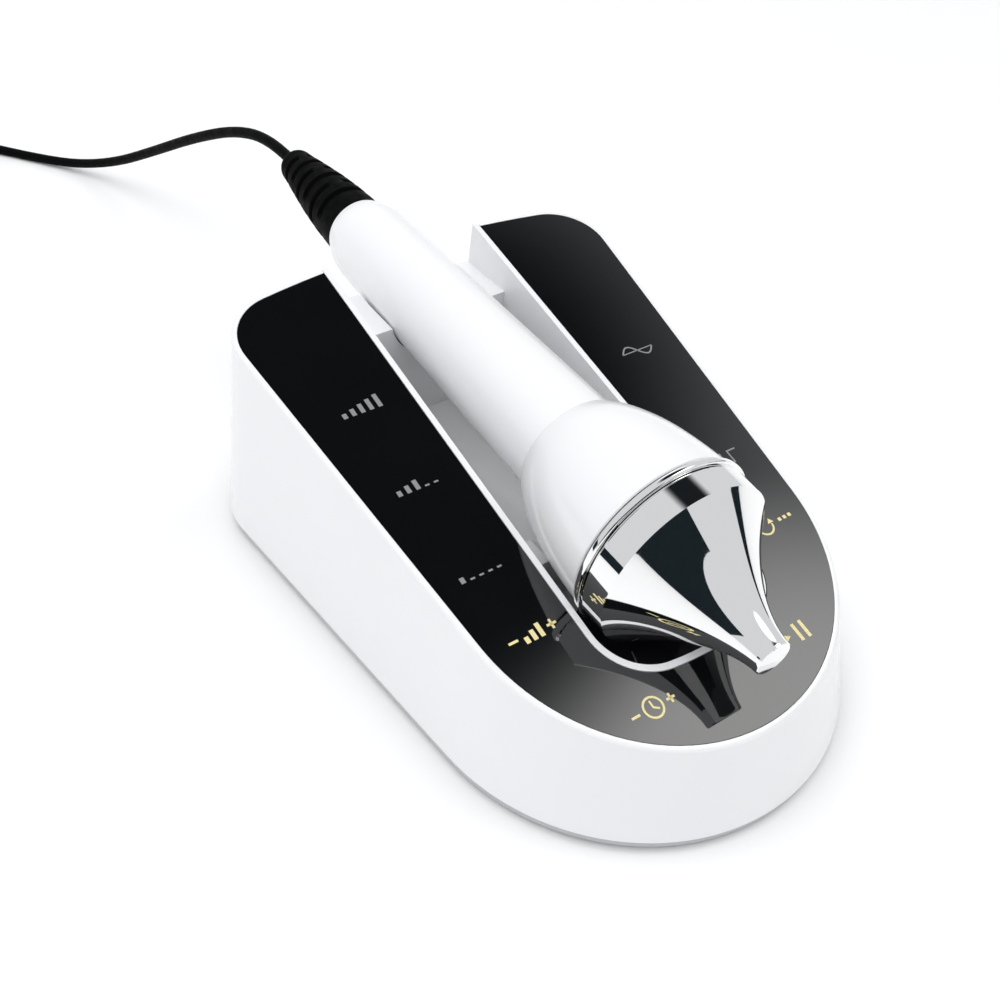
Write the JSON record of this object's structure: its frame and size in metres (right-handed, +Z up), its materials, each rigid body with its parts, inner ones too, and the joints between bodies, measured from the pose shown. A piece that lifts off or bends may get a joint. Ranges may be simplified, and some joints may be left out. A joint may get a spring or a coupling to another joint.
{
  "type": "ultrasound therapy device",
  "caption": "Desktop console with a sloping horseshoe touch panel and a central cradle that holds a corded handpiece with a polished trumpet horn.",
  "frame": {"origin": "on the table, under the middle of the console and handpiece together", "axes": "+Z up, -Y towards the user and the round front, +X to the user's right"},
  "size_m": [0.1826, 0.4272, 0.0699],
  "materials": {
    "gloss_white": "glossy moulded shell",
    "grey_plastic": "fine matt",
    "panel_black": "polished black acrylic with printed key marks",
    "foam_black": "adhesive foam",
    "board_green": "solder mask",
    "lamp": "diffused lamp body",
    "window_dark": "tinted display window",
    "component_black": "moulded component",
    "alu": "plain",
    "can_blue": "sleeved can",
    "ribbon": "polyimide film",
    "rubber_black": "soft matt rubber",
    "steel": "zinc plated",
    "chrome": "mirror polished",
    "ceramic": "fired",
    "brass": "gold flashed",
    "cable_black": "flexible jacket",
    "wire_red": "insulated wire",
    "nylon": "natural nylon"
  },
  "bodies": {
    "console": {"upper_housing": "gloss_white", "bottom_cover": "grey_plastic", "rubber_feet": "rubber_black", "housing_screws": "steel", "touch_panel": "panel_black", "panel_adhesive": "foam_black", "touch_sensor_board": "board_green", "key_lamps": "lamp", "cradle": "gloss_white", "display_window": "window_dark", "main_board": "board_green", "controller_chip": "component_black", "driver_chip": "component_black", "drive_transformer": "component_black", "power_transistor": "component_black", "filter_capacitors": "can_blue", "buzzer": "component_black", "display_module": "component_black", "display_header": "brass", "heat_sink": "alu", "ribbon_cable": "ribbon", "power_inlet": "component_black", "probe_socket": "alu", "socket_nut": "steel", "cord": "cable_black", "cord_coil": "cable_black", "plug_body": "component_black", "plug_sleeve": "alu", "plug_pins": "brass"},
    "handpiece": {"handle_shell": "gloss_white", "head_shell": "gloss_white", "head_seal": "rubber_black", "collar_ring": "chrome", "horn": "chrome", "piezo_rings": "ceramic", "contact_shims": "brass", "back_mass": "steel", "preload_bolt": "steel", "cable_clamp": "nylon", "lead_wires": "wire_red", "strain_relief": "rubber_black"}
  },
  "joints": [
    {"name": "handpiece_lift", "type": "slide", "parent": "console", "child": "handpiece", "axis": [0, 0, 1], "range_m": [0, 0.09]}
  ]
}
